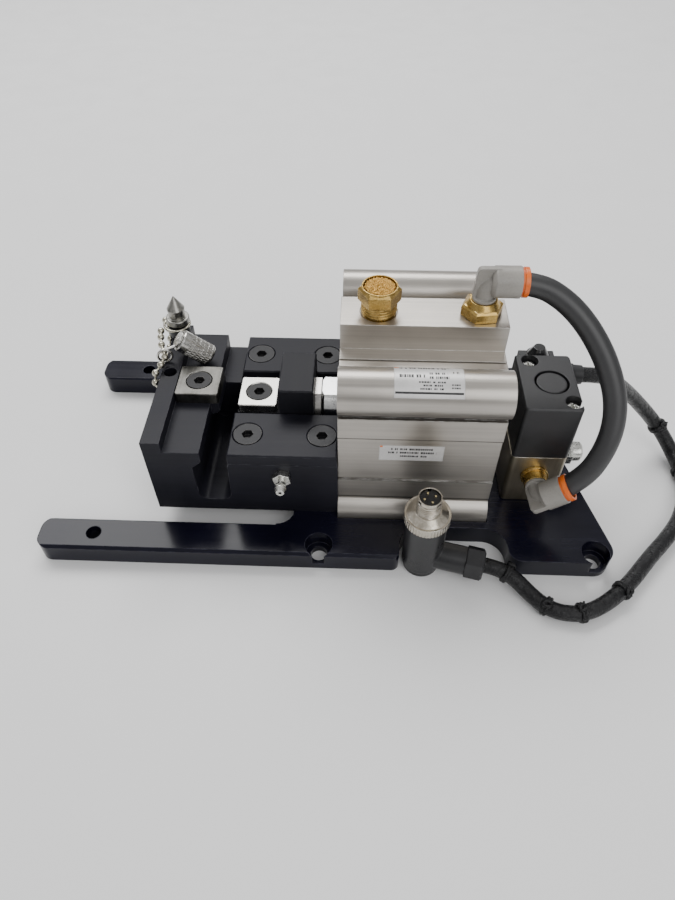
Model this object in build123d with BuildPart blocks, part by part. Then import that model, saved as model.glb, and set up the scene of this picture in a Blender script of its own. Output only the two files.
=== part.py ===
from build123d import *
import math
import os

os.makedirs("parts", exist_ok=True)

# Pneumatic gripper: a fork-shaped base plate, a clamp body with a fixed and a moving jaw,
# a square compact cylinder, a solenoid valve, an air hose and the valve's cable.
# The origin is on the plate's underside, midway between its two front mounting holes.
# +X runs along the rod from the jaws to the valve, +Z is up.

# Driving dimensions, mm
cylinder_size = 77.0
cylinder_length = 60.5
cylinder_x = 7.0
axis_z = cylinder_size / 2
plate_thickness = 9.5
plate_half_width = 57.0
arm_inner_y = 42.5
arm_tip_x = -113.3
slot_end_x = -11.0
hole_spacing_x = 109.0
hole_spacing_y = 104.0
arm_hole_x = -91.2
arm_hole_y = 49.5

body_left = -67.2
body_half_width = 35.75
body_bottom = plate_thickness
jaw_top = 48.5
recess_floor = 43.6
jaw_wall_inner = -59.8
slot_left = -45.6
slot_right = -35.2
slot_floor = 16.0
slot_back_y = 12.0
bridge_top = 36.7
channel_left = -36.5
channel_half_width = 18.0
channel_floor = 22.0
cover_bottom = 38.0
cover_top = 43.0
cover_inner_y = 12.5
cover_screw_xs = (-28.5, 0.5)
cover_screw_y = 24.1

slide_left = -34.9
slide_right = -3.4
tall_block_left = -17.3
tall_block_top = 54.4
rod_radius = 10.0
bore_radius = 31.5

screw_radius = 2.95
thread_hole_radius = 3.0
head_radius = 5.9
head_gap = 0.3
head_sink = 0.15
hose_radius = 4.1
cable_radius = 3.1
cable_floor_z = 4.1


def axial(x):
    """The plane across the rod's axis at x: its own x is +Y and its own y is +Z."""
    return Plane(origin=(x, 0, axis_z), x_dir=(0, 1, 0), z_dir=(1, 0, 0))


def sleeve(plane, length, outer, inner=0.0, mode=Mode.ADD):
    """A tube or a disc standing on a plane."""
    with BuildSketch(plane) as section:
        Circle(outer)
        if inner > 0:
            Circle(inner, mode=Mode.SUBTRACT)
    extrude(section.sketch, amount=length, mode=mode)


def hex_prism(plane, length, across_flats, inner=0.0, turn=0.0, mode=Mode.ADD):
    """A hexagon bar standing on a plane, with an optional bore."""
    with BuildSketch(plane) as section:
        RegularPolygon(across_flats / 2, 6, major_radius=False, rotation=turn)
        if inner > 0:
            Circle(inner, mode=Mode.SUBTRACT)
    extrude(section.sketch, amount=length, mode=mode)


def flat_head_screws(places, top, length, head=head_radius):
    """M6 countersunk screws with hexagon sockets, heads a little under a top face."""
    top -= head_sink
    head -= head_gap
    cone_height = head - screw_radius
    with Locations(*[(x, y, top) for x, y in places]):
        Cone(screw_radius, head, cone_height, align=(Align.CENTER, Align.CENTER, Align.MAX))
        Cylinder(screw_radius, length, align=(Align.CENTER, Align.CENTER, Align.MAX))
    with BuildSketch(Plane.XY.offset(top)) as sockets:
        with Locations(*places):
            RegularPolygon(2.0, 6, major_radius=False)
    extrude(sockets.sketch, amount=-2.4, mode=Mode.SUBTRACT)


def countersinks(places, top, depth, head=head_radius):
    """Clearance holes for those screws."""
    with Locations(*[(x, y, top) for x, y in places]):
        CounterSinkHole(screw_radius + 0.35, head + 0.25, depth=depth, counter_sink_angle=90)


# Base plate: a fork whose two arms reach past the jaws, a window for the cylinder,
# a notch in the front edge and two ears beside the valve
waist_x = 103.7
ear_x = 118.0
notch_left = 32.0
notch_right = 75.0
notch_y = -42.0
window_half_width = cylinder_size / 2 + 0.3
window_right = cylinder_x + cylinder_length + 0.5
mounting_holes = [(x, y) for x in (0, hole_spacing_x) for y in (-hole_spacing_y / 2, hole_spacing_y / 2)]
body_screw_places = [(-3.0, -20.0), (-3.0, 20.0)]
valve_foot_places = [(79.5, -20.0), (91.5, -5.0)]

plate_corners = [
    ((arm_tip_x, -plate_half_width), 5),
    ((notch_left, -plate_half_width), 3),
    ((notch_left, notch_y), 9),
    ((notch_right, notch_y), 9),
    ((notch_right, -plate_half_width), 5),
    ((ear_x, -plate_half_width), 7),
    ((waist_x, 0), 20),
    ((ear_x, plate_half_width), 7),
    ((arm_tip_x, plate_half_width), 5),
    ((arm_tip_x, arm_inner_y), 5),
    ((slot_end_x, arm_inner_y), 7),
    ((slot_end_x, -arm_inner_y), 7),
    ((arm_tip_x, -arm_inner_y), 5),
]
with BuildPart() as base_plate:
    with BuildSketch():
        with BuildLine():
            FilletPolyline(
                *[corner for corner, radius in plate_corners],
                radius=[radius for corner, radius in plate_corners],
                close=True,
            )
        make_face()
        with Locations(((cylinder_x + window_right) / 2, 0)):
            Rectangle(window_right - cylinder_x, 2 * window_half_width, mode=Mode.SUBTRACT)
    extrude(amount=plate_thickness)
    # Narrow bevels along the arms' inner and outer top edges
    with BuildSketch(Plane.YZ.offset(arm_tip_x)):
        for side in (-1, 1):
            with BuildLine():
                Polyline(
                    (side * (arm_inner_y - 0.1), plate_thickness - 0.8),
                    (side * (arm_inner_y + 0.8), plate_thickness + 0.1),
                    (side * (arm_inner_y - 0.1), plate_thickness + 0.1),
                    close=True,
                )
            make_face()
    extrude(amount=slot_end_x - arm_tip_x - 7, mode=Mode.SUBTRACT)
    with BuildSketch(Plane.YZ.offset(arm_tip_x)):
        for side in (-1, 1):
            with BuildLine():
                Polyline(
                    (side * (plate_half_width + 0.1), plate_thickness - 1.2),
                    (side * (plate_half_width - 1.2), plate_thickness + 0.1),
                    (side * (plate_half_width + 0.1), plate_thickness + 0.1),
                    close=True,
                )
            make_face()
    extrude(amount=notch_left - arm_tip_x, mode=Mode.SUBTRACT)
    with Locations(*[(x, y, plate_thickness) for x, y in mounting_holes]):
        CounterBoreHole(3.3, 5.5, 6.4)
    with Locations((arm_hole_x, -arm_hole_y, plate_thickness), (arm_hole_x, arm_hole_y, plate_thickness)):
        Hole(thread_hole_radius)
    with Locations(*[Location((x, y, 0), (180, 0, 0)) for x, y in body_screw_places]):
        CounterSinkHole(screw_radius + 0.35, head_radius + 0.25, counter_sink_angle=90)
    with Locations(*[Location((x, y, 0), (180, 0, 0)) for x, y in valve_foot_places]):
        CounterSinkHole(2.3, 4.4, counter_sink_angle=90)
base_plate.part.label = "base_plate"
export_step(base_plate.part, "parts/base_plate.step")

# Clamp body: the fixed jaw on the left, the cross slot between the jaws, and the channel
# that the slide runs in on the right
body_length = cylinder_x - body_left
cylinder_screw_y = 28.6
cylinder_screw_z = 13.4
nipple_x = -14.6
nipple_z = 32.0
pin_x = -64.2
pin_shank_radius = 2.0
pin_y = 30.0
fixed_pad_x = (-59.6, -42.1)

with BuildPart() as clamp_body:
    with BuildSketch(Plane.XY.offset(body_bottom)):
        with Locations((body_left + body_length / 2, 0)):
            Rectangle(body_length, 2 * body_half_width)
    extrude(amount=jaw_top - body_bottom)
    # The whole right end is lower, for the cover plates
    with BuildSketch(Plane.XY.offset(cover_bottom)):
        with Locations(((slot_right + cylinder_x) / 2, 0)):
            Rectangle(cylinder_x - slot_right, 2 * body_half_width + 1)
    extrude(amount=jaw_top, mode=Mode.SUBTRACT)
    # Shallow slot over the bridge at the back
    with BuildSketch(Plane.XY.offset(bridge_top)):
        with Locations(((slot_left + slot_right) / 2 + 0.5, 0)):
            Rectangle(slot_right - slot_left - 1, 2 * body_half_width + 1)
    extrude(amount=jaw_top, mode=Mode.SUBTRACT)
    # Deep slot with a lip over its left wall, open at the front
    with BuildSketch(Plane.XZ.offset(-slot_back_y)):
        with BuildLine():
            FilletPolyline(
                (slot_left, jaw_top + 1),
                (slot_left, 38.6),
                (-49.4, 35.2),
                (-48.9, slot_floor),
                (-36.2, slot_floor),
                (slot_right, jaw_top + 1),
                radius=[0.2, 0.4, 0.8, 3.5, 3.5, 0.2],
                close=True,
            )
        make_face()
    extrude(amount=slot_back_y + body_half_width + 1, mode=Mode.SUBTRACT)
    # Step along the jaw top, which the fixed pad sits on
    with BuildSketch(Plane.XY.offset(recess_floor)):
        with Locations(((jaw_wall_inner + slot_left + 1) / 2, 0)):
            Rectangle(slot_left + 1 - jaw_wall_inner, 2 * body_half_width + 2)
    extrude(amount=jaw_top, mode=Mode.SUBTRACT)
    # Nose that carries the fixed pad out over the slot
    with BuildSketch(Plane.XZ.offset(-8.4)):
        with BuildLine():
            Polyline(
                (slot_left - 3, recess_floor),
                (slot_left - 3, 36.0),
                (-43.4, 38.4),
                (-42.1, 39.6),
                (-42.1, recess_floor),
                close=True,
            )
        make_face()
    extrude(amount=16.8)
    # Channel for the slide, open on top until the covers close it
    with BuildSketch(Plane.XY.offset(channel_floor)):
        with Locations(((channel_left + cylinder_x) / 2, 0)):
            Rectangle(cylinder_x - channel_left, 2 * channel_half_width)
    extrude(amount=jaw_top, mode=Mode.SUBTRACT)
    with Locations(*[(x, s * cover_screw_y, cover_bottom) for x in cover_screw_xs for s in (-1, 1)]):
        Hole(thread_hole_radius, depth=14)
    with Locations((sum(fixed_pad_x) / 2, 0, recess_floor)):
        Hole(thread_hole_radius, depth=6.2)
    with Locations((pin_x, pin_y, jaw_top)):
        Hole(pin_shank_radius + 0.05, depth=12)
    with Locations(*[Location((x, y, body_bottom), (180, 0, 0)) for x, y in body_screw_places]):
        Hole(thread_hole_radius, depth=9.5)
    for side in (-1, 1):
        with BuildSketch(Plane(origin=(cylinder_x, side * cylinder_screw_y, cylinder_screw_z), z_dir=(-1, 0, 0))):
            Circle(thread_hole_radius)
        extrude(amount=16, mode=Mode.SUBTRACT)
    with BuildSketch(Plane(origin=(nipple_x, -body_half_width, nipple_z), z_dir=(0, 1, 0))):
        Circle(2.5)
    extrude(amount=8, mode=Mode.SUBTRACT)
    with BuildSketch(Plane(origin=(nipple_x, -body_half_width, nipple_z), z_dir=(0, 1, 0))):
        Circle(1.0)
    extrude(amount=body_half_width - channel_half_width + 1, mode=Mode.SUBTRACT)
    # Blind hole in the left edge of the jaw top, under the chain
    with Locations((-63.7, 4.4, jaw_top)):
        Hole(2.7, depth=5)
clamp_body.part.label = "clamp_body"
export_step(clamp_body.part, "parts/clamp_body.step")

# Cover plates, which hold the slide down in its channel
cover_right = cylinder_x - 0.3
for side, label in ((-1, "front_cover_plate"), (1, "back_cover_plate")):
    with BuildPart() as cover_plate:
        with BuildSketch(Plane.XY.offset(cover_bottom)):
            with Locations(((slot_right + cover_right) / 2, side * (cover_inner_y + body_half_width) / 2)):
                Rectangle(cover_right - slot_right, body_half_width - cover_inner_y)
        extrude(amount=cover_top - cover_bottom)
        chamfer(cover_plate.faces().sort_by(Axis.Z)[-1].edges(), 0.5)
        countersinks([(x, side * cover_screw_y) for x in cover_screw_xs], cover_top, 8)
    cover_plate.part.label = label
    export_step(cover_plate.part, f"parts/{label}.step")

with BuildPart() as cover_screws:
    flat_head_screws([(x, s * cover_screw_y) for x in cover_screw_xs for s in (-1, 1)], cover_top, 16)
cover_screws.part.label = "cover_screws"
export_step(cover_screws.part, "parts/cover_screws.step")

# Screws from under the plate into the clamp body and the valve
with BuildPart() as plate_screws:
    for x, y in body_screw_places:
        with Locations(Location((x, y, 0.2), (180, 0, 0))):
            Cone(screw_radius, head_radius, head_radius - screw_radius, align=(Align.CENTER, Align.CENTER, Align.MAX))
            Cylinder(screw_radius, 17.5, align=(Align.CENTER, Align.CENTER, Align.MAX))
    for x, y in valve_foot_places:
        with Locations(Location((x, y, 0.2), (180, 0, 0))):
            Cone(1.95, 4.0, 2.05, align=(Align.CENTER, Align.CENTER, Align.MAX))
            Cylinder(1.95, 15.5, align=(Align.CENTER, Align.CENTER, Align.MAX))
    with BuildSketch(Plane.XY.offset(0.2)):
        with Locations(*body_screw_places, *valve_foot_places):
            RegularPolygon(1.4, 6, major_radius=False)
    extrude(amount=1.8, mode=Mode.SUBTRACT)
plate_screws.part.label = "plate_screws"
export_step(plate_screws.part, "parts/plate_screws.step")

# Jaw pads
moving_pad_x = (-34.7, -18.8)
moving_pad_bottom = 39.2
moving_pad_top = 43.2
pad_half_width = 8.5
for label, ends, bottom, top in (
    ("fixed_pad", fixed_pad_x, recess_floor, jaw_top + 0.1),
    ("moving_pad", moving_pad_x, moving_pad_bottom, moving_pad_top),
):
    with BuildPart() as pad:
        with BuildSketch(Plane.XY.offset(bottom)):
            with Locations((sum(ends) / 2, 0)):
                RectangleRounded(ends[1] - ends[0], 2 * pad_half_width, 1.0)
        extrude(amount=top - bottom)
        chamfer(pad.faces().sort_by(Axis.Z)[-1].edges(), 0.3)
        countersinks([(sum(ends) / 2, 0)], top, 8, head=5.3)
    pad.part.label = label
    export_step(pad.part, f"parts/{label}.step")

with BuildPart() as fixed_pad_screw:
    flat_head_screws([(sum(fixed_pad_x) / 2, 0)], jaw_top + 0.1, 10.5, head=5.3)
fixed_pad_screw.part.label = "fixed_pad_screw"
export_step(fixed_pad_screw.part, "parts/fixed_pad_screw.step")

with BuildPart() as moving_pad_screw:
    flat_head_screws([(sum(moving_pad_x) / 2, 0)], moving_pad_top, 14, head=5.3)
moving_pad_screw.part.label = "moving_pad_screw"
export_step(moving_pad_screw.part, "parts/moving_pad_screw.step")

# Slide: a foot under the covers that narrows towards the slot, a narrow tongue between them and a tall rear block
slide_gap = 0.3
foot_left = -27.4
with BuildPart() as slide_block:
    with BuildSketch(Plane.XY.offset(channel_floor + slide_gap)):
        with Locations(((foot_left + slide_right) / 2, 0)):
            Rectangle(slide_right - foot_left, 2 * (channel_half_width - slide_gap))
        with Locations(((slide_left + foot_left) / 2, 0)):
            Rectangle(foot_left - slide_left, 23.0)
    extrude(amount=cover_bottom - channel_floor - 2 * slide_gap)
    with BuildSketch(Plane.XY.offset(channel_floor + slide_gap)):
        with Locations(((slide_left + slide_right) / 2, 0)):
            Rectangle(slide_right - slide_left, 2 * pad_half_width)
    extrude(amount=moving_pad_bottom - channel_floor - slide_gap)
    with BuildSketch(Plane.XY.offset(channel_floor + slide_gap)):
        with Locations(((tall_block_left + slide_right) / 2, 0)):
            Rectangle(slide_right - tall_block_left, 23.6)
    extrude(amount=tall_block_top - channel_floor - slide_gap)
    chamfer(slide_block.faces().sort_by(Axis.Z)[-1].edges(), 0.5)
    with Locations((sum(moving_pad_x) / 2, 0, moving_pad_bottom)):
        Hole(thread_hole_radius, depth=12)
    sleeve(axial(slide_right), -13, 6.0, mode=Mode.SUBTRACT)
slide_block.part.label = "slide_block"
export_step(slide_block.part, "parts/slide_block.step")

# Rod end: a threaded stud, its jam nut and the piston rod with two wrench flats
jam_nut_length = 2.7
rod_front = -0.5
piston_x = 37.0
piston_length = 17.0
spigot_radius = 7.0
with BuildPart() as rod_stud:
    sleeve(axial(slide_right - 11.5), 11.5 + rod_front - slide_right + 8, 5.95)
rod_stud.part.label = "rod_stud"
export_step(rod_stud.part, "parts/rod_stud.step")

with BuildPart() as rod_jam_nut:
    hex_prism(axial(slide_right), jam_nut_length, 17, inner=6.0)
rod_jam_nut.part.label = "rod_jam_nut"
export_step(rod_jam_nut.part, "parts/rod_jam_nut.step")

with BuildPart() as piston_rod:
    sleeve(axial(rod_front), piston_x - rod_front, rod_radius)
    chamfer(piston_rod.faces().sort_by(Axis.X)[0].edges(), 1.0)
    sleeve(axial(piston_x), piston_length + 2.2, spigot_radius)
    sleeve(axial(rod_front), 10, 6.0, mode=Mode.SUBTRACT)
    with BuildSketch(axial(rod_front)):
        for side in (-1, 1):
            with Locations((0, side * (8.5 + 5))):
                Rectangle(22, 10)
    extrude(amount=7.2, mode=Mode.SUBTRACT)
piston_rod.part.label = "piston_rod"
export_step(piston_rod.part, "parts/piston_rod.step")

# Cylinder: a square extrusion with four round corner posts, recessed sides and a port boss
post_y = 30.0
post_z = {"upper": 33.8, "lower": -28.6}
post_radius = 8.5
side_face = 34.2
band_depth = 0.7
panel_ends = (-9.4, 13.8)
upper_groove = (24.1, 26.4)
shoulder_half_width = 18.5
shoulder_groove_y = 15.0
boss_half_width = 8.5
boss_top = 46.0
port_xs = (20.9, 58.0)
port_radius = 6.4
cylinder_right = cylinder_x + cylinder_length
ring_groove_depth = 1.0
underside_band_y = 12.5
underside_band_width = 5.4
with BuildPart() as cylinder_tube:
    with BuildSketch(axial(cylinder_x)):
        Rectangle(2 * side_face, 2 * side_face)
        with Locations(*[(side * post_y, height) for side in (-1, 1) for height in post_z.values()]):
            Circle(post_radius)
        # Each side has a panel a little under its face, and a groove under the upper post
        with Locations(*[(side * side_face, sum(panel_ends) / 2) for side in (-1, 1)]):
            Rectangle(2 * band_depth, panel_ends[1] - panel_ends[0], mode=Mode.SUBTRACT)
        with Locations(*[(side * side_face, sum(upper_groove) / 2) for side in (-1, 1)]):
            Rectangle(2.6, upper_groove[1] - upper_groove[0], mode=Mode.SUBTRACT)
        with Locations((-underside_band_y, -side_face), (underside_band_y, -side_face)):
            Rectangle(underside_band_width, 2.2)
        with Locations((0, side_face - 1)):
            Rectangle(2 * shoulder_half_width, 4.2)
        with Locations(*[(side * shoulder_groove_y, side_face + 1.1) for side in (-1, 1)]):
            Rectangle(0.9, 2.0, mode=Mode.SUBTRACT)
        with Locations((0, boss_top / 2)):
            Rectangle(2 * boss_half_width, boss_top)
        Circle(bore_radius, mode=Mode.SUBTRACT)
    extrude(amount=cylinder_length)
    with Locations(*[(x, 0, axis_z + boss_top) for x in port_xs]):
        CounterBoreHole(port_radius, port_radius + 0.5, 0.5, depth=9)
        Hole(2.5, depth=boss_top - bore_radius + 4)
    for side in (-1, 1):
        screw_axis = (side * cylinder_screw_y, cylinder_screw_z - axis_z)
        with BuildSketch(axial(cylinder_x)):
            with Locations(screw_axis):
                Circle(3.3)
        extrude(amount=cylinder_length, mode=Mode.SUBTRACT)
        with BuildSketch(axial(cylinder_right)):
            with Locations(screw_axis):
                Circle(5.3)
        extrude(amount=-7, mode=Mode.SUBTRACT)
        with BuildSketch(axial(cylinder_x)):
            with Locations((side * post_y, post_z["upper"])):
                Circle(4.3)
        extrude(amount=cylinder_length, mode=Mode.SUBTRACT)
    # Grooves for the two retaining rings
    sleeve(axial(cylinder_x + 1.4), 1.6, bore_radius + ring_groove_depth, mode=Mode.SUBTRACT)
    sleeve(axial(cylinder_right - 3.0), 1.6, bore_radius + ring_groove_depth, mode=Mode.SUBTRACT)
cylinder_tube.part.label = "cylinder_tube"
export_step(cylinder_tube.part, "parts/cylinder_tube.step")

cover_radius = bore_radius - 0.1
rod_cover_x = cylinder_x + 3.1
rod_cover_length = 8.0
with BuildPart() as rod_cover:
    sleeve(axial(rod_cover_x), rod_cover_length, cover_radius, 12.0)
    sleeve(axial(rod_cover_x), 4.0, 14.0, mode=Mode.SUBTRACT)
rod_cover.part.label = "rod_cover"
export_step(rod_cover.part, "parts/rod_cover.step")

with BuildPart() as rod_bush:
    sleeve(axial(rod_cover_x + 4.0), rod_cover_length - 4.0, 11.98, rod_radius + 0.04)
rod_bush.part.label = "rod_bush"
export_step(rod_bush.part, "parts/rod_bush.step")

with BuildPart() as rod_seal:
    sleeve(axial(rod_cover_x + 0.4), 3.5, 13.9, rod_radius + 0.05)
    chamfer(rod_seal.edges().filter_by(GeomType.CIRCLE).sort_by(Axis.X)[0:2], 0.4)
rod_seal.part.label = "rod_seal"
export_step(rod_seal.part, "parts/rod_seal.step")

head_cover_x = cylinder_right - 6.5
with BuildPart() as head_cover:
    sleeve(axial(head_cover_x), 3.4, cover_radius)
head_cover.part.label = "head_cover"
export_step(head_cover.part, "parts/head_cover.step")

with BuildPart() as retaining_rings:
    for x in (cylinder_x + 1.5, cylinder_right - 2.9):
        with BuildSketch(axial(x)):
            Circle(bore_radius + ring_groove_depth - 0.1)
            Circle(bore_radius - 3.0, mode=Mode.SUBTRACT)
            with Locations((0, -bore_radius)):
                Rectangle(9, 12, mode=Mode.SUBTRACT)
        extrude(amount=1.4)
retaining_rings.part.label = "retaining_rings"
export_step(retaining_rings.part, "parts/retaining_rings.step")

with BuildPart() as cylinder_screws:
    for side in (-1, 1):
        screw_axis = (side * cylinder_screw_y, cylinder_screw_z - axis_z)
        with BuildSketch(axial(cylinder_x - 14)):
            with Locations(screw_axis):
                Circle(screw_radius)
        extrude(amount=14 + cylinder_length - 6.8)
        with BuildSketch(axial(cylinder_right - 6.9)):
            with Locations(screw_axis):
                Circle(5.0)
        extrude(amount=6.0)
        with BuildSketch(axial(cylinder_right - 0.9)):
            with Locations(screw_axis):
                RegularPolygon(2.5, 6, major_radius=False)
        extrude(amount=-3, mode=Mode.SUBTRACT)
cylinder_screws.part.label = "cylinder_screws"
export_step(cylinder_screws.part, "parts/cylinder_screws.step")

# Piston with its seal, magnet and wear ring
piston_radius = bore_radius - 0.25
seal_x = piston_x + 3.0
magnet_x = piston_x + 7.5
wear_x = piston_x + 12.5
groove_radius = bore_radius - 3.5
with BuildPart() as piston:
    sleeve(axial(piston_x), piston_length, piston_radius, spigot_radius + 0.05)
    for x, length in ((seal_x, 3.0), (magnet_x, 3.4), (wear_x, 3.0)):
        sleeve(axial(x), length, bore_radius + 1, groove_radius, mode=Mode.SUBTRACT)
piston.part.label = "piston"
export_step(piston.part, "parts/piston.step")

with BuildPart() as piston_seal:
    sleeve(axial(seal_x + 0.1), 2.8, bore_radius - 0.05, groove_radius + 0.05)
    fillet(piston_seal.edges().filter_by(GeomType.CIRCLE).group_by(SortBy.RADIUS)[-1], 0.8)
piston_seal.part.label = "piston_seal"
export_step(piston_seal.part, "parts/piston_seal.step")

with BuildPart() as piston_magnet:
    sleeve(axial(magnet_x + 0.1), 3.2, bore_radius - 0.6, groove_radius + 0.05)
piston_magnet.part.label = "piston_magnet"
export_step(piston_magnet.part, "parts/piston_magnet.step")

with BuildPart() as wear_ring:
    sleeve(axial(wear_x + 0.1), 2.8, bore_radius - 0.06, groove_radius + 0.05)
    with BuildSketch(axial(wear_x + 0.1)):
        with Locations((0, bore_radius)):
            Rectangle(1.2, 9)
    extrude(amount=2.8, mode=Mode.SUBTRACT)
wear_ring.part.label = "wear_ring"
export_step(wear_ring.part, "parts/wear_ring.step")

with BuildPart() as piston_nut:
    hex_prism(axial(piston_x + piston_length), 2.0, 22, inner=spigot_radius + 0.05)
piston_nut.part.label = "piston_nut"
export_step(piston_nut.part, "parts/piston_nut.step")

# Exhaust silencer in the left port: a brass body with a sintered bronze plug
boss_z = axis_z + boss_top
silencer_plane = Plane(origin=(port_xs[0], 0, boss_z))
with BuildPart() as silencer_body:
    sleeve(silencer_plane.offset(-8.5), 14.0, port_radius - 0.05)
    hex_prism(silencer_plane.offset(5.2), 5.3, 13.6)
    silencer_top = silencer_body.faces().sort_by(Axis.Z)[-1]
    chamfer(silencer_top.edges(), 0.9)
    sleeve(silencer_plane.offset(10.4), 0.6, 6.5)
    sleeve(silencer_plane.offset(-8.5), 19.4, 4.4, mode=Mode.SUBTRACT)
    sleeve(silencer_plane.offset(8.8), 2.2, 6.0, mode=Mode.SUBTRACT)
silencer_body.part.label = "silencer_body"
export_step(silencer_body.part, "parts/silencer_body.step")

with BuildPart() as silencer_element:
    sleeve(silencer_plane.offset(8.8), 2.6, 5.95)
    fillet(silencer_element.edges().filter_by(GeomType.CIRCLE).sort_by(Axis.Z)[-1], 0.6)
silencer_element.part.label = "silencer_element"
export_step(silencer_element.part, "parts/silencer_element.step")

# Push-in elbows: each has a brass stud, a grey body and an orange release ring. The body is a
# bent tube with a flat web in its outer corner, which widens into the barrel that takes the hose
neck_radius = 3.3
barrel_radius = 5.6
barrel_start = 1.4
web_thickness = 2.2
ring_gap = 0.9
ring_lip = 1.6
hose_insertion = 8.0
valve_front = -27.0
valve_port = (85.2, valve_front, 26.3)
lower_barrel_angle = math.radians(38)
elbows = (
    ("upper", Plane(origin=(port_xs[1], 0, boss_z), x_dir=(1, 0, 0), z_dir=(0, 0, 1)), 13.3, 11.5, 6.4),
    (
        "lower",
        Plane(
            origin=valve_port,
            x_dir=(math.cos(lower_barrel_angle), 0, math.sin(lower_barrel_angle)),
            z_dir=(0, -1, 0),
        ),
        12.1,
        10.3,
        5.2,
    ),
)
hose_ends = []
for name, foot, barrel_height, barrel_length, stud_top in elbows:
    corner = foot.offset(barrel_height)
    barrel = Plane(origin=corner.origin, x_dir=foot.z_dir, z_dir=foot.x_dir)
    # The plane through the two axes: its x runs along the barrel and its y away from the stud
    bend_plane = Plane(origin=foot.origin, x_dir=foot.x_dir, z_dir=foot.x_dir.cross(foot.z_dir))
    with BuildPart() as elbow_stud:
        if name == "upper":
            sleeve(foot.offset(-8.0), 8.1, port_radius - 0.05)
            hex_prism(foot.offset(0.1), 4.3, 13.4, turn=8)
            chamfer(elbow_stud.faces().sort_by(Axis.Z)[-1].edges(), 0.8)
            with Locations(foot.offset(4.3).location):
                Cone(6.2, 4.9, stud_top - 4.3, align=(Align.CENTER, Align.CENTER, Align.MIN))
        else:
            sleeve(foot.offset(-8.0), 8.0 + stud_top, 4.6)
            sleeve(foot.offset(0.1), 1.2, 5.4)
        sleeve(foot.offset(stud_top), 3.0, 2.3)
        sleeve(foot.offset(-8.0), 21, 1.6, mode=Mode.SUBTRACT)
    elbow_stud.part.label = f"{name}_elbow_stud"
    export_step(elbow_stud.part, f"parts/{name}_elbow_stud.step")
    with BuildPart() as elbow_body:
        sleeve(foot.offset(stud_top + 0.05), 1.1, 4.3)
        with BuildLine() as bend:
            FilletPolyline(
                foot.offset(stud_top + 0.6).origin,
                corner.origin,
                barrel.offset(5.0).origin,
                radius=4.0,
            )
        with BuildSketch(foot.offset(stud_top + 0.6)):
            Circle(neck_radius)
        sweep(path=bend.wire())
        with BuildSketch(bend_plane.offset(-web_thickness / 2)):
            with BuildLine():
                FilletPolyline(
                    (-4.4, stud_top + 1.0),
                    (-3.6, barrel_height + barrel_radius),
                    (barrel_start + 3, barrel_height + barrel_radius),
                    (barrel_start + 3, stud_top + 3.0),
                    (0, stud_top + 1.0),
                    radius=[0.3, 1.6, 0.3, 0.3, 0.3],
                    close=True,
                )
            make_face()
        extrude(amount=web_thickness)
        with Locations(barrel.offset(barrel_start).location):
            Cone(4.2, barrel_radius, 1.2, align=(Align.CENTER, Align.CENTER, Align.MIN))
        sleeve(barrel.offset(barrel_start + 1.2), barrel_length - barrel_start - 1.2, barrel_radius)
        sleeve(foot.offset(stud_top), 3.1, 2.35, mode=Mode.SUBTRACT)
        sleeve(foot.offset(stud_top), barrel_height - stud_top, 1.6, mode=Mode.SUBTRACT)
        sleeve(barrel, barrel_length, 1.6, mode=Mode.SUBTRACT)
        sleeve(barrel.offset(barrel_length - hose_insertion), hose_insertion, 4.9, mode=Mode.SUBTRACT)
    elbow_body.part.label = f"{name}_elbow_body"
    export_step(elbow_body.part, f"parts/{name}_elbow_body.step")
    with BuildPart() as release_ring:
        sleeve(barrel.offset(barrel_length + ring_gap), ring_lip, 5.3, hose_radius + 0.35)
        sleeve(barrel.offset(barrel_length - 4.5), 4.5 + ring_gap, 4.83, hose_radius + 0.35)
    release_ring.part.label = f"{name}_release_ring"
    export_step(release_ring.part, f"parts/{name}_release_ring.step")
    hose_ends.append(barrel.offset(barrel_length - hose_insertion + 0.05).origin)
    print(name, "hose end", hose_ends[-1])

# Air hose between the two elbows, held by both
hose_route = [
    tuple(hose_ends[0]),
    (75.0, 0.0, 97.8),
    (86.0, -4.4, 93.4),
    (94.9, -10.5, 86.0),
    (102.4, -18.0, 75.8),
    (106.9, -26.2, 64.0),
    (105.6, -33.8, 51.6),
    (98.59, -39.1, 36.762),
    tuple(hose_ends[1]),
]


def bend_radii(route):
    """Each corner's arc: 0.45 of its shorter run, divided by the tangent of half the turn."""
    points = [Vector(*point) for point in route]
    radii = []
    for before, here, after in zip(points, points[1:], points[2:]):
        run = min((here - before).length, (after - here).length)
        turn = math.radians((here - before).get_angle(after - here))
        radii.append(0.45 * run / math.tan(turn / 2))
    return radii


def tube_along(route, outer, inner=0.0):
    """The path and the solid of a tube that follows a route."""
    with BuildPart() as tube:
        with BuildLine() as path:
            FilletPolyline(*route, radius=bend_radii(route))
        with BuildSketch(Plane(origin=path.wire() @ 0, z_dir=path.wire() % 0)):
            Circle(outer)
            if inner > 0:
                Circle(inner, mode=Mode.SUBTRACT)
        sweep()
    return path.wire(), tube


def report_tube(name, wire, tube, route, outer, inner=0.0):
    section = math.pi * (outer**2 - inner**2)
    print(name, "length", round(wire.length, 1), "radii", [round(r, 1) for r in bend_radii(route)])
    print(name, "volume", round(tube.part.volume), "section x length", round(section * wire.length))


hose_wire, air_hose = tube_along(hose_route, hose_radius, 2.6)
report_tube("air_hose", hose_wire, air_hose, hose_route, hose_radius, 2.6)
air_hose.part.label = "air_hose"
export_step(air_hose.part, "parts/air_hose.step")

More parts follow.
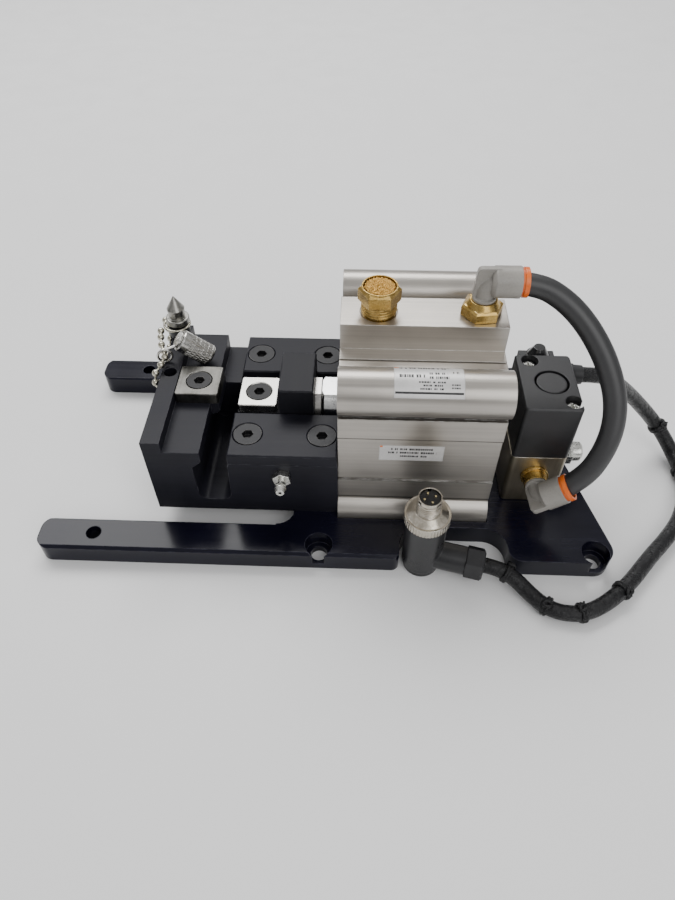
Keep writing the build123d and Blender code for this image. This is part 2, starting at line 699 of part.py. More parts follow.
# Solenoid valve: a bored metal body, the coil's cap and what moves inside them
valve_left = 74.5
valve_right = 96.3
valve_back = 4.0
valve_split_z = 36.5
valve_top = 62.5
valve_x = (valve_left + valve_right) / 2
button_place = (86.6, -12.0)
cap_screw_places = ((80.2, 0.2), (93.0, -22.6))
gland_place = (0.0, 56.0)
with BuildPart() as valve_body:
    with BuildSketch(Plane.XY.offset(plate_thickness)):
        with Locations((valve_x, (valve_front + valve_back) / 2)):
            RectangleRounded(valve_right - valve_left, valve_back - valve_front, 2.0)
    extrude(amount=valve_split_z - plate_thickness)
    fillet(valve_body.faces().sort_by(Axis.Z)[0].edges(), 0.8)
    with Locations((*button_place, valve_split_z)):
        CounterBoreHole(5.5, 7.0, 2.2, depth=23)
    with BuildSketch(Plane(origin=valve_port, z_dir=(0, 1, 0))):
        Circle(4.65)
    extrude(amount=8.2, mode=Mode.SUBTRACT)
    with BuildSketch(Plane(origin=valve_port, z_dir=(0, 1, 0))):
        Circle(2.4)
    extrude(amount=12, mode=Mode.SUBTRACT)
    with BuildSketch(Plane(origin=(valve_right, -17.0, 30.0), z_dir=(-1, 0, 0))):
        Circle(3.0)
    extrude(amount=4.4, mode=Mode.SUBTRACT)
    with BuildSketch(Plane(origin=(valve_right, -17.0, 30.0), z_dir=(-1, 0, 0))):
        Circle(1.2)
    extrude(amount=8.0, mode=Mode.SUBTRACT)
    with Locations(*[Location((x, y, plate_thickness), (180, 0, 0)) for x, y in valve_foot_places]):
        Hole(2.0, depth=8)
    with Locations(*[(x, y, valve_split_z) for x, y in cap_screw_places]):
        Hole(1.6, depth=8)
valve_body.part.label = "valve_body"
export_step(valve_body.part, "parts/valve_body.step")

with BuildPart() as coil_cap:
    with BuildSketch(Plane.XY.offset(valve_split_z)):
        with Locations((valve_x, (valve_front + valve_back) / 2)):
            RectangleRounded(valve_right - valve_left - 0.4, valve_back - valve_front - 0.2, 1.5)
    extrude(amount=valve_top - valve_split_z)
    chamfer(coil_cap.faces().sort_by(Axis.Z)[-1].edges(), 0.6)
    with Locations((*button_place, valve_top)):
        CounterBoreHole(3.2, 6.5, 4.6)
    with Locations((*button_place, valve_split_z)):
        Cylinder(8.4, 17.0, align=(Align.CENTER, Align.CENTER, Align.MIN), mode=Mode.SUBTRACT)
    with Locations(*[(x, y, valve_top) for x, y in cap_screw_places]):
        CounterBoreHole(1.8, 3.3, 4.5)
coil_cap.part.label = "coil_cap"
export_step(coil_cap.part, "parts/coil_cap.step")

with BuildPart() as cap_screws:
    with Locations(*[(x, y, valve_top - 4.5) for x, y in cap_screw_places]):
        Cylinder(2.9, 2.2, align=(Align.CENTER, Align.CENTER, Align.MIN))
    fillet(cap_screws.faces().sort_by(Axis.Z)[-2:].edges(), 0.9)
    with Locations(*[(x, y, valve_top - 4.5) for x, y in cap_screw_places]):
        Cylinder(1.55, 29, align=(Align.CENTER, Align.CENTER, Align.MAX))
    with BuildSketch(Plane.XY.offset(valve_top - 2.3)):
        for x, y in cap_screw_places:
            with Locations((x, y)):
                Rectangle(3.4, 0.8)
                Rectangle(0.8, 3.4)
    extrude(amount=-1.2, mode=Mode.SUBTRACT)
cap_screws.part.label = "cap_screws"
export_step(cap_screws.part, "parts/cap_screws.step")

spool_bottom = valve_split_z - 20.0
button_plane = Plane(origin=(*button_place, 0))
with BuildPart() as valve_plunger:
    sleeve(button_plane.offset(valve_top - 2.2), 2.0, 5.8)
    fillet(valve_plunger.faces().sort_by(Axis.Z)[-1].edges(), 0.5)
    sleeve(button_plane.offset(spool_bottom), valve_top - 2.2 - spool_bottom, 2.9)
    sleeve(button_plane.offset(spool_bottom), 17.0, 5.4)
    for height in (4.0, 9.0, 14.0):
        with BuildSketch(button_plane.offset(spool_bottom + height - 2)):
            Circle(5.6)
            Circle(4.2, mode=Mode.SUBTRACT)
        extrude(amount=2.0, mode=Mode.SUBTRACT)
valve_plunger.part.label = "valve_plunger"
export_step(valve_plunger.part, "parts/valve_plunger.step")

with BuildPart() as coil_bobbin:
    sleeve(button_plane.offset(valve_split_z + 0.3), 15.8, 4.6, 3.3)
    sleeve(button_plane.offset(valve_split_z + 0.3), 1.2, 8.2, 3.3)
    sleeve(button_plane.offset(valve_split_z + 14.9), 1.2, 8.2, 3.3)
coil_bobbin.part.label = "coil_bobbin"
export_step(coil_bobbin.part, "parts/coil_bobbin.step")

with BuildPart() as coil_winding:
    sleeve(button_plane.offset(valve_split_z + 1.6), 13.2, 7.9, 4.7)
coil_winding.part.label = "coil_winding"
export_step(coil_winding.part, "parts/coil_winding.step")

with BuildPart() as body_gasket:
    sleeve(button_plane.offset(valve_split_z - 2.1), 2.0, 6.9, 5.8)
body_gasket.part.label = "body_gasket"
export_step(body_gasket.part, "parts/body_gasket.step")

exhaust_plane = Plane(origin=(valve_right, -17.0, 30.0), z_dir=(1, 0, 0))
with BuildPart() as exhaust_plug:
    sleeve(exhaust_plane.offset(-4.2), 4.4, 2.95)
    hex_prism(exhaust_plane.offset(0.2), 4.0, 9.0, turn=10)
    sleeve(exhaust_plane.offset(4.2), 4.0, 4.0)
    chamfer(exhaust_plug.faces().sort_by(Axis.X)[-1].edges(), 0.8)
    sleeve(exhaust_plane.offset(-4.2), 13.0, 1.2, mode=Mode.SUBTRACT)
exhaust_plug.part.label = "exhaust_plug"
export_step(exhaust_plug.part, "parts/exhaust_plug.step")

# Terminal box behind the coil's cap, with a smoked lens on top
box_left = 78.5
box_right = 92.5
box_back = 14.0
box_top = 57.0
with BuildPart() as terminal_box:
    with BuildSketch(Plane.XY.offset(valve_split_z - 6)):
        with Locations(((box_left + box_right) / 2, (valve_back + 0.1 + box_back) / 2)):
            Rectangle(box_right - box_left, box_back - valve_back - 0.1)
    extrude(amount=box_top - valve_split_z + 6)
    chamfer(terminal_box.faces().sort_by(Axis.Y)[-1].edges(), 1.0)
terminal_box.part.label = "terminal_box"
export_step(terminal_box.part, "parts/terminal_box.step")

with BuildPart() as indicator_lens:
    with Locations(((box_left + box_right) / 2, (valve_back + box_back) / 2, box_top)):
        Cylinder(4.6, 1.5, align=(Align.CENTER, Align.CENTER, Align.MIN))
    with Locations(((box_left + box_right) / 2, (valve_back + box_back) / 2, box_top + 1.5)):
        Cone(4.3, 2.2, 3.6, align=(Align.CENTER, Align.CENTER, Align.MIN))
indicator_lens.part.label = "indicator_lens"
export_step(indicator_lens.part, "parts/indicator_lens.step")

gland_length = 5.2
with BuildPart() as cable_gland:
    with BuildSketch(Plane(origin=(valve_right - 0.2, *gland_place), z_dir=(1, 0, 0))):
        Circle(4.4)
    extrude(amount=1.6)
    with BuildSketch(Plane(origin=(valve_right + 1.4, *gland_place), z_dir=(1, 0, 0))):
        Circle(4.0)
    extrude(amount=gland_length - 1.6, taper=4)
cable_gland.part.label = "cable_gland"
export_step(cable_gland.part, "parts/cable_gland.step")

# Plug connector standing on the floor in the plate's notch, with its arm to the right
plug_x = 41.0
plug_y = -52.5
arm_angle = -13.6
arm_z = 8.0
arm_length = 17.5
nut_length = 7.0
ring_bottom = 29.2
rim_height = 4.0
insert_top = 42.6
plug = Plane(origin=(plug_x, plug_y, 0))
arm = Plane(
    origin=(plug_x, plug_y, arm_z),
    z_dir=(math.cos(math.radians(arm_angle)), math.sin(math.radians(arm_angle)), 0),
)
with BuildPart() as connector_housing:
    sleeve(plug, 3.0, 7.0)
    with BuildSketch(plug.offset(3.0)):
        Circle(7.7)
    with BuildSketch(plug.offset(ring_bottom - 0.3)):
        Circle(8.2)
    loft()
    sleeve(arm, arm_length, 5.6)
    sleeve(plug.offset(22.0), 8.0, 4.9, mode=Mode.SUBTRACT)
connector_housing.part.label = "connector_housing"
export_step(connector_housing.part, "parts/connector_housing.step")

with BuildPart() as connector_nut:
    hex_prism(arm.offset(arm_length), nut_length, 11.6, turn=15)
    chamfer(connector_nut.faces().filter_by(arm).sort_by(Axis.X)[-1].edges(), 0.8)
connector_nut.part.label = "connector_nut"
export_step(connector_nut.part, "parts/connector_nut.step")

with BuildPart() as connector_insert:
    sleeve(plug.offset(22.2), insert_top - 0.9 - 22.2, 3.85)
    sleeve(plug.offset(22.2), 4.0, 4.8)
    with BuildSketch(plug.offset(insert_top - 3.3)):
        with Locations((0, 3.9)):
            Rectangle(1.2, 1.2)
    extrude(amount=2.4, mode=Mode.SUBTRACT)
connector_insert.part.label = "connector_insert"
export_step(connector_insert.part, "parts/connector_insert.step")

with BuildPart() as connector_pins:
    with Locations(Location((plug_x, plug_y, insert_top - 0.9), (0, 0, 20))):
        with PolarLocations(2.2, 4):
            Cylinder(0.4, 0.6, align=(Align.CENTER, Align.CENTER, Align.MIN))
connector_pins.part.label = "connector_pins"
export_step(connector_pins.part, "parts/connector_pins.step")

with BuildPart() as coupling_ring:
    sleeve(plug.offset(ring_bottom), rim_height, 8.7)
    with Locations(Location((plug_x, plug_y, ring_bottom + rim_height))):
        Cone(7.8, 4.9, 1.8, align=(Align.CENTER, Align.CENTER, Align.MIN))
    sleeve(plug.offset(ring_bottom + rim_height + 1.8), insert_top - ring_bottom - rim_height - 1.8, 4.4)
    for turn in range(5):
        sleeve(plug.offset(ring_bottom + rim_height + 2.4 + 1.2 * turn), 0.5, 4.6, 4.1, mode=Mode.SUBTRACT)
    # Knurling: shallow flutes round the rim
    with BuildSketch(plug.offset(ring_bottom)):
        with PolarLocations(8.8, 44):
            Circle(0.32)
    extrude(amount=rim_height - 0.6, mode=Mode.SUBTRACT)
    sleeve(plug.offset(ring_bottom), insert_top - ring_bottom, 3.95, mode=Mode.SUBTRACT)
coupling_ring.part.label = "coupling_ring"
export_step(coupling_ring.part, "parts/coupling_ring.step")

# Wrapped cable from the valve, over and along the floor, to the plug connector
gland_end = (valve_right - 0.2 + gland_length, *gland_place)
nut_end = arm.offset(arm_length + nut_length).origin
nut_exit = arm.offset(arm_length + nut_length + 6.0).origin
cable_route = [
    gland_end,
    (107.0, 0.0, 56.0),
    (113.5, 2.5, 52.6),
    (122.0, 7.5, 44.0),
    (132.0, 12.5, 33.0),
    (144.0, 15.0, 20.0),
    (152.5, 13.0, 10.5),
    (157.0, 6.0, 5.0),
    (158.5, -5.5, cable_floor_z),
    (155.5, -19.0, cable_floor_z),
    (149.5, -31.0, cable_floor_z),
    (141.0, -41.0, cable_floor_z),
    (132.0, -50.0, cable_floor_z),
    (121.0, -62.5, cable_floor_z),
    (110.0, -71.5, cable_floor_z),
    (100.5, -76.0, cable_floor_z),
    (92.5, -75.8, cable_floor_z),
    (86.5, -73.0, cable_floor_z),
    (81.5, -68.0, 4.6),
    (76.5, -62.9, 6.4),
    tuple(nut_exit),
    tuple(nut_end),
]
cable_wire, valve_cable = tube_along(cable_route, cable_radius)
report_tube("valve_cable", cable_wire, valve_cable, cable_route, cable_radius)
valve_cable.part.label = "valve_cable"
export_step(valve_cable.part, "parts/valve_cable.step")

tie_places = (0.292, 0.4, 0.731, 0.82, 0.878, 0.96)
with BuildPart() as cable_ties:
    for place in tie_places:
        sleeve(
            Plane(origin=cable_wire @ place, z_dir=cable_wire % place),
            1.6,
            cable_radius + 0.95,
            cable_radius + 0.12,
        )
cable_ties.part.label = "cable_ties"
export_step(cable_ties.part, "parts/cable_ties.step")

# Grease nipple on the front of the clamp body
nipple = Plane(origin=(nipple_x, -body_half_width, nipple_z), z_dir=(0, -1, 0))
with BuildPart() as grease_nipple:
    sleeve(nipple.offset(-7.0), 7.2, 2.45)
    hex_prism(nipple.offset(0.05), 2.8, 6.4, turn=10)
    sleeve(nipple.offset(2.8), 2.6, 1.8)
    with Locations(nipple.offset(5.2).location):
        Cone(1.8, 2.4, 1.4, align=(Align.CENTER, Align.CENTER, Align.MIN))
    with Locations(nipple.offset(6.6).location):
        Cone(2.4, 1.6, 2.2, align=(Align.CENTER, Align.CENTER, Align.MIN))
    sleeve(nipple.offset(-7.0), 16.0, 0.6, mode=Mode.SUBTRACT)
grease_nipple.part.label = "grease_nipple"
export_step(grease_nipple.part, "parts/grease_nipple.step")

# Locating pin at the back of the fixed jaw: black socket, collar and cone point
pin = Plane(origin=(pin_x, pin_y, jaw_top))
with BuildPart() as pin_socket:
    sleeve(pin.offset(0.05), 4.4, 4.6, pin_shank_radius + 0.05)
pin_socket.part.label = "pin_socket"
export_step(pin_socket.part, "parts/pin_socket.step")

with BuildPart() as locating_pin:
    sleeve(pin.offset(-11.0), 17.5, pin_shank_radius)
    sleeve(pin.offset(6.4), 2.8, 5.0)
    fillet(locating_pin.edges().filter_by(GeomType.CIRCLE).group_by(SortBy.RADIUS)[-1], 0.6)
    with Locations(pin.offset(9.2).location):
        Cone(3.3, 3.75, 4.2, align=(Align.CENTER, Align.CENTER, Align.MIN))
    with Locations(pin.offset(13.4).location):
        Cone(3.75, 0.15, 6.0, align=(Align.CENTER, Align.CENTER, Align.MIN))
locating_pin.part.label = "locating_pin"
export_step(locating_pin.part, "parts/locating_pin.step")

with BuildPart() as pin_chain_ring:
    with Locations((pin_x - 0.7, pin_y - 0.4, jaw_top + 5.45)):
        Torus(5.4, 0.6)
pin_chain_ring.part.label = "pin_chain_ring"
export_step(pin_chain_ring.part, "parts/pin_chain_ring.step")

# Knurled protective cap for the pin at the end of its ball chain: its open end is on the jaw's
# step and its closed end is up beside the wall
cap_radius = 4.7
cap_azimuth = math.radians(8.5)
cap_tilt = math.radians(41)
cap_length = 15.0
cap_start = Vector(-60.3, 15.0, 57.0)
cap_axis = (
    math.cos(cap_azimuth) * math.cos(cap_tilt),
    math.sin(cap_azimuth) * math.cos(cap_tilt),
    -math.sin(cap_tilt),
)
cap_plane = Plane(origin=cap_start, x_dir=(math.sin(cap_azimuth), -math.cos(cap_azimuth), 0), z_dir=cap_axis)
with BuildPart() as dust_cap:
    sleeve(cap_plane, cap_length, cap_radius)
    chamfer(dust_cap.edges().filter_by(GeomType.CIRCLE).sort_by(Axis.X)[0], 0.4)
    fillet(dust_cap.edges().filter_by(GeomType.CIRCLE).sort_by(Axis.X)[-1], 1.2)
    # Knurling: crossed rows of shallow flutes
    for row in range(5):
        with BuildSketch(cap_plane.offset(3.6 + 2.0 * row)):
            with PolarLocations(cap_radius + 0.15, 24, start_angle=7.5 * (row % 2)):
                Circle(0.42)
        extrude(amount=1.7, mode=Mode.SUBTRACT)
    sleeve(cap_plane.offset(3.0), cap_length - 3.0, 3.75, mode=Mode.SUBTRACT)
    sleeve(cap_plane, 3.0, 1.05, mode=Mode.SUBTRACT)
dust_cap.part.label = "dust_cap"
export_step(dust_cap.part, "parts/dust_cap.step")

tab_ring_center = Vector(-66.4, 10.4, jaw_top + 3.6)
tab_ring_radius = 2.9
tab_ring_plane = Plane(origin=tab_ring_center, x_dir=(0.97, 0.24, 0), z_dir=(0.24, -0.97, 0))
tab_bar_start = cap_plane.offset(-0.5).from_local_coords(Vector(2.2, 2.2, 0))
tab_bar_end = tab_ring_center + Vector(0, 0, tab_ring_radius)
tab_bar = tab_bar_end - tab_bar_start
with BuildPart() as cap_tab:
    sleeve(cap_plane.offset(-0.9), 0.8, 3.6)
    sleeve(cap_plane.offset(-1.4), 3.8, 0.95)
    sleeve(Plane(origin=tab_bar_start, z_dir=tab_bar), tab_bar.length, 0.6)
    with Locations(tab_ring_plane.location):
        Torus(tab_ring_radius, 0.55)
cap_tab.part.label = "cap_tab"
export_step(cap_tab.part, "parts/cap_tab.step")

# Ball chain from the ring under the pin's collar, through the tab's ring, over the jaw's left
# edge and back up to the pin
ball_radius = 1.5
chain_pitch = 3.9
chain_line = Spline(
    (-71.0, 25.0, jaw_top + 5.0),
    (-70.2, 20.9, jaw_top + 4.8),
    (-68.8, 15.8, jaw_top + 3.7),
    tuple(tab_ring_center),
    (-66.9, 6.4, jaw_top + 2.9),
    (-69.0, 2.6, jaw_top + 1.2),
    (-69.4, 0.6, jaw_top - 2.5),
    (-69.4, 4.0, jaw_top - 6.5),
    (-69.4, 14.0, jaw_top - 9.0),
    (-69.4, 24.0, jaw_top - 6.0),
    (-69.4, 31.0, jaw_top - 1.0),
    (-71.2, 34.0, jaw_top + 3.8),
)
ball_count = int(chain_line.length // chain_pitch) + 1
ball_places = [chain_line @ (i / (ball_count - 1)) for i in range(ball_count)]
with BuildPart() as ball_chain:
    for place in ball_places:
        with Locations(place):
            Sphere(ball_radius)
    for start, end in zip(ball_places, ball_places[1:]):
        sleeve(Plane(origin=start, z_dir=end - start), (end - start).length, 0.45)
ball_chain.part.label = "ball_chain"
export_step(ball_chain.part, "parts/ball_chain.step")
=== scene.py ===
"""The looks of the pneumatic gripper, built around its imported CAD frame. Lengths are in metres."""

import math
import random

import bmesh
import bpy
from mathutils import Matrix, Vector


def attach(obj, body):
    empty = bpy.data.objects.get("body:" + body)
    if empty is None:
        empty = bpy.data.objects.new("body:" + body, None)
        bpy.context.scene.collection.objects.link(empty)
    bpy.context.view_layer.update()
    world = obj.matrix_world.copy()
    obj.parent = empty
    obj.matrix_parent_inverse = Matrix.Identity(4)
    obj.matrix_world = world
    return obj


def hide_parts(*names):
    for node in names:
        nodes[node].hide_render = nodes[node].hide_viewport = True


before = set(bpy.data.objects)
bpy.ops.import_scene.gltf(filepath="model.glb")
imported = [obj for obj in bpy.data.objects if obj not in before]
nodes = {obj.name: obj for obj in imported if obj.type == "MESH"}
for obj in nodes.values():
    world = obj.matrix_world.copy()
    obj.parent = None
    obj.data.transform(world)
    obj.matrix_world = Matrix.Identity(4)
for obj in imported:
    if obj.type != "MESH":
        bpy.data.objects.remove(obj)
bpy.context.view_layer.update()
MM = 0.001

# ---------------------------------------------------------------- camera
YAW = 0.045
PITCH = 0.8393
ROLL = -0.0074
IMAGE_HEIGHT = 900
FOCAL_PIXELS = 668.9
SENSOR = 36
CAMERA_PLACE = (0.0145, -0.2012, 0.2323)
forward = Vector((-math.sin(YAW) * math.cos(PITCH), math.cos(YAW) * math.cos(PITCH), -math.sin(PITCH)))
level_right = Vector((math.cos(YAW), math.sin(YAW), 0))
level_up = level_right.cross(forward)
right = level_right * math.cos(ROLL) + level_up * math.sin(ROLL)
up = level_up * math.cos(ROLL) - level_right * math.sin(ROLL)
camera_data = bpy.data.cameras.new("camera")
camera_data.sensor_width = SENSOR
camera_data.lens = FOCAL_PIXELS / IMAGE_HEIGHT * SENSOR
camera_data.clip_start = 0.01
camera = bpy.data.objects.new("camera", camera_data)
bpy.context.collection.objects.link(camera)
camera_turn = Matrix((right, up, -forward)).transposed().to_4x4()
camera.matrix_world = Matrix.Translation(CAMERA_PLACE) @ camera_turn
bpy.context.scene.camera = camera


# ---------------------------------------------------------------- material kit
def node(tree, kind, **values):
    made = tree.nodes.new(kind)
    for key, value in values.items():
        setattr(made, key, value)
    return made


def noise(tree, place, scale, detail=4.0, rough=0.55):
    made = node(tree, "ShaderNodeTexNoise")
    made.inputs["Scale"].default_value = scale
    made.inputs["Detail"].default_value = detail
    made.inputs["Roughness"].default_value = rough
    tree.links.new(place, made.inputs["Vector"])
    return made.outputs["Fac"]


def spread(tree, value, low, high, to_low=0.0, to_high=1.0):
    made = node(tree, "ShaderNodeMapRange")
    made.inputs["From Min"].default_value = low
    made.inputs["From Max"].default_value = high
    made.inputs["To Min"].default_value = to_low
    made.inputs["To Max"].default_value = to_high
    tree.links.new(value, made.inputs["Value"])
    return made.outputs["Result"]


def math_node(tree, operation, a, b):
    made = node(tree, "ShaderNodeMath", operation=operation)
    for socket, value in zip(made.inputs, (a, b)):
        if isinstance(value, (int, float)):
            socket.default_value = value
        else:
            tree.links.new(value, socket)
    return made.outputs["Value"]


def mix_color(tree, factor, a, b):
    made = node(tree, "ShaderNodeMix", data_type="RGBA")
    tree.links.new(factor, made.inputs["Factor"])
    for socket, value in ((made.inputs["A"], a), (made.inputs["B"], b)):
        if isinstance(value, tuple):
            socket.default_value = (*value, 1)
        else:
            tree.links.new(value, socket)
    return made.outputs["Result"]


def edge_mask(tree, width):
    """1 along convex and concave edges, 0 on open faces."""
    bevel = node(tree, "ShaderNodeBevel", samples=6)
    bevel.inputs["Radius"].default_value = width
    geometry = node(tree, "ShaderNodeNewGeometry")
    dot = node(tree, "ShaderNodeVectorMath", operation="DOT_PRODUCT")
    tree.links.new(bevel.outputs["Normal"], dot.inputs[0])
    tree.links.new(geometry.outputs["Normal"], dot.inputs[1])
    return spread(tree, dot.outputs["Value"], 0.998, 0.9), bevel.outputs["Normal"]


COAT_ROUGH = 0.1
# Colour of the painted shade lines that stand for the shade in the grooves round the cylinder tube.
GROOVE_SHADE = (0.03, 0.028, 0.025)


def finish_material(
    name,
    low,
    high,
    rough=(0.35, 0.5),
    metallic=0.0,
    patch=35.0,
    grain=900.0,
    stretch=(1, 1, 1),
    bump=0.15,
    bump_depth=0.00005,
    wear=None,
    wear_amount=0.6,
    edge=0.0004,
    specular=0.5,
    coat=0.0,
    speckle=None,
    speckle_scale=400.0,
    speckle_level=0.62,
    groove_shade_lines=(),
):
    """A surface with broad tone patches, a fine grain along one way, soft edges and edge wear.

    The last argument lists heights in mm at which a thin level line of painted shade lies, standing for the
    shade in a groove round the part.
    """
    material = bpy.data.materials.new(name)
    material.use_nodes = True
    tree = material.node_tree
    shader = tree.nodes["Principled BSDF"]
    shader.inputs["Metallic"].default_value = metallic
    shader.inputs["Specular IOR Level"].default_value = specular
    shader.inputs["Coat Weight"].default_value = coat
    shader.inputs["Coat Roughness"].default_value = COAT_ROUGH
    place = node(tree, "ShaderNodeTexCoord").outputs["Object"]
    mapping = node(tree, "ShaderNodeMapping")
    mapping.inputs["Scale"].default_value = stretch
    tree.links.new(place, mapping.inputs["Vector"])
    grained = mapping.outputs["Vector"]
    patches = noise(tree, place, patch, 3.0)
    fine = noise(tree, grained, grain, 5.0, 0.6)
    broad_part = math_node(tree, "MULTIPLY", patches, 0.6)
    fine_part = math_node(tree, "MULTIPLY", fine, 0.4)
    tone = math_node(tree, "ADD", broad_part, fine_part)
    color = mix_color(tree, spread(tree, tone, 0.36, 0.64), low, high)
    if speckle:
        spots = noise(tree, place, speckle_scale, 2.0)
        color = mix_color(tree, spread(tree, spots, speckle_level, speckle_level + 0.04), color, speckle)
    # Painted shade: thin dark level lines where the grooves fall in shade.
    if groove_shade_lines:
        split = node(tree, "ShaderNodeSeparateXYZ")
        tree.links.new(place, split.inputs["Vector"])
    for line in groove_shade_lines:
        away = math_node(tree, "ABSOLUTE", math_node(tree, "SUBTRACT", split.outputs["Z"], line * MM), 0.0)
        color = mix_color(tree, spread(tree, away, 0.0002, 0.0006, 0.75, 0.0), color, GROOVE_SHADE)
    mask, soft_normal = edge_mask(tree, edge)
    if wear:
        broken = spread(tree, noise(tree, place, 260.0, 4.0), 0.42, 0.6)
        amount = math_node(tree, "MULTIPLY", math_node(tree, "MULTIPLY", mask, broken), wear_amount)
        color = mix_color(tree, amount, color, wear)
    tree.links.new(color, shader.inputs["Base Color"])
    tree.links.new(spread(tree, tone, 0.3, 0.7, rough[0], rough[1]), shader.inputs["Roughness"])
    relief = node(tree, "ShaderNodeBump")
    relief.inputs["Strength"].default_value = bump
    relief.inputs["Distance"].default_value = bump_depth
    tree.links.new(fine, relief.inputs["Height"])
    tree.links.new(soft_normal, relief.inputs["Normal"])
    tree.links.new(relief.outputs["Normal"], shader.inputs["Normal"])
    return material


